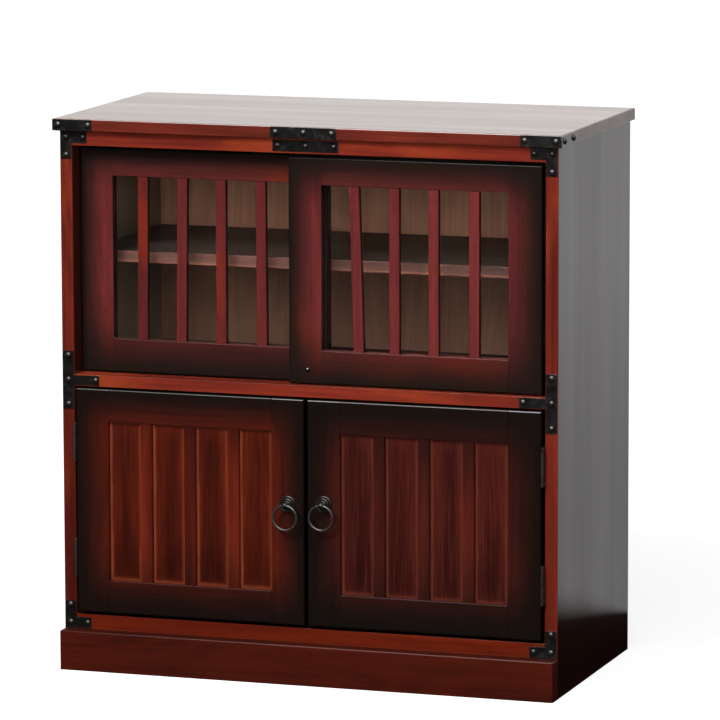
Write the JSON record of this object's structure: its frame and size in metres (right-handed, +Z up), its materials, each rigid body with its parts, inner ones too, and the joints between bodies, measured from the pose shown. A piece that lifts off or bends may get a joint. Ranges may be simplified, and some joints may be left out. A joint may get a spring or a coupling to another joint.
{
  "type": "glass-door cupboard",
  "caption": "Low wooden cupboard with glazed slatted sliding doors above panelled hinged doors with ring pulls, iron corner plates and a front plinth.",
  "frame": {"origin": "on the floor, under the middle of the whole cupboard with its plates and ring pulls", "axes": "+Z up; the doors face -Y; +X to the right of someone who faces the doors"},
  "size_m": [0.6074, 0.3106, 0.635],
  "materials": {
    "top_wood": "dark red stain under gloss lacquer",
    "side_wood": "dark red brown stain under gloss lacquer",
    "frame_wood": "orange red stain under satin lacquer",
    "plinth_wood": "dark red brown stain under gloss lacquer",
    "door_wood": "red stain shaded to black at the edges, satin lacquer",
    "slat_wood": "red brown stain under satin lacquer",
    "panel_wood": "red stain with upright grain, satin lacquer",
    "shelf_wood": "red brown stain, satin",
    "back_wood": "brown printed veneer, matt",
    "clear_glass": "clear float glass",
    "black_iron": "black lacquered iron",
    "grey_steel": "plated steel",
    "catch_plastic": "brown moulded housing"
  },
  "bodies": {
    "cabinet": {"back_panel": "back_wood", "bottom_board": "frame_wood", "centre_plates": "black_iron", "corner_angles": "black_iron", "door_catches": "catch_plastic", "frame_hinge_leaves": "grey_steel", "frame_hinge_screws": "grey_steel", "glue_blocks": "back_wood", "hinge_pins": "grey_steel", "left_side_panel": "side_wood", "left_tee_plate": "black_iron", "lower_shelf": "shelf_wood", "middle_board": "frame_wood", "plate_nails": "black_iron", "plinth_board": "plinth_wood", "right_side_panel": "side_wood", "right_tee_plate": "black_iron", "shelf_pegs": "grey_steel", "top_board": "top_wood", "top_left_strap": "black_iron", "top_right_strap": "black_iron", "upper_board": "frame_wood", "upper_shelf": "shelf_wood"},
    "front_sliding_door": {"front_bottom_rail": "door_wood", "front_glass": "clear_glass", "front_left_stile": "door_wood", "front_right_stile": "door_wood", "front_slats": "slat_wood", "front_stop_pin": "black_iron", "front_top_rail": "door_wood"},
    "rear_sliding_door": {"rear_bottom_rail": "door_wood", "rear_glass": "clear_glass", "rear_left_stile": "door_wood", "rear_right_stile": "door_wood", "rear_slats": "slat_wood", "rear_top_rail": "door_wood"},
    "left_door": {"left_door_bottom_rail": "door_wood", "left_door_hinge_leaves": "grey_steel", "left_door_hinge_screws": "grey_steel", "left_door_hinge_stile": "door_wood", "left_door_meeting_stile": "door_wood", "left_door_mullions": "slat_wood", "left_door_panel": "panel_wood", "left_door_strike": "grey_steel", "left_door_top_rail": "door_wood", "left_pull_rosette": "black_iron"},
    "right_door": {"right_door_bottom_rail": "door_wood", "right_door_hinge_leaves": "grey_steel", "right_door_hinge_screws": "grey_steel", "right_door_hinge_stile": "door_wood", "right_door_meeting_stile": "door_wood", "right_door_mullions": "slat_wood", "right_door_panel": "panel_wood", "right_door_strike": "grey_steel", "right_door_top_rail": "door_wood", "right_pull_rosette": "black_iron"},
    "left_ring": {"left_pull_ring": "black_iron"},
    "right_ring": {"right_pull_ring": "black_iron"}
  },
  "joints": [
    {"name": "front_door_slide", "type": "slide", "parent": "cabinet", "child": "front_sliding_door", "axis": [1, 0, 0], "range_m": [-0.2564, 0.0056]},
    {"name": "rear_door_slide", "type": "slide", "parent": "cabinet", "child": "rear_sliding_door", "axis": [1, 0, 0], "range_m": [0, 0.262]},
    {"name": "left_door_hinge", "type": "hinge", "parent": "cabinet", "child": "left_door", "pos_m": [-0.2785, -0.14317, 0.1964], "axis": [0, 0, -1], "range_deg": [0, 175]},
    {"name": "right_door_hinge", "type": "hinge", "parent": "cabinet", "child": "right_door", "pos_m": [0.2785, -0.14317, 0.1964], "axis": [0, 0, 1], "range_deg": [0, 175]},
    {"name": "left_ring_swing", "type": "hinge", "parent": "left_door", "child": "left_ring", "pos_m": [-0.0215, -0.15207, 0.2055], "axis": [-1, 0, 0], "range_deg": [-16, 196]},
    {"name": "right_ring_swing", "type": "hinge", "parent": "right_door", "child": "right_ring", "pos_m": [0.0215, -0.15207, 0.2077], "axis": [-1, 0, 0], "range_deg": [-16, 196]}
  ]
}
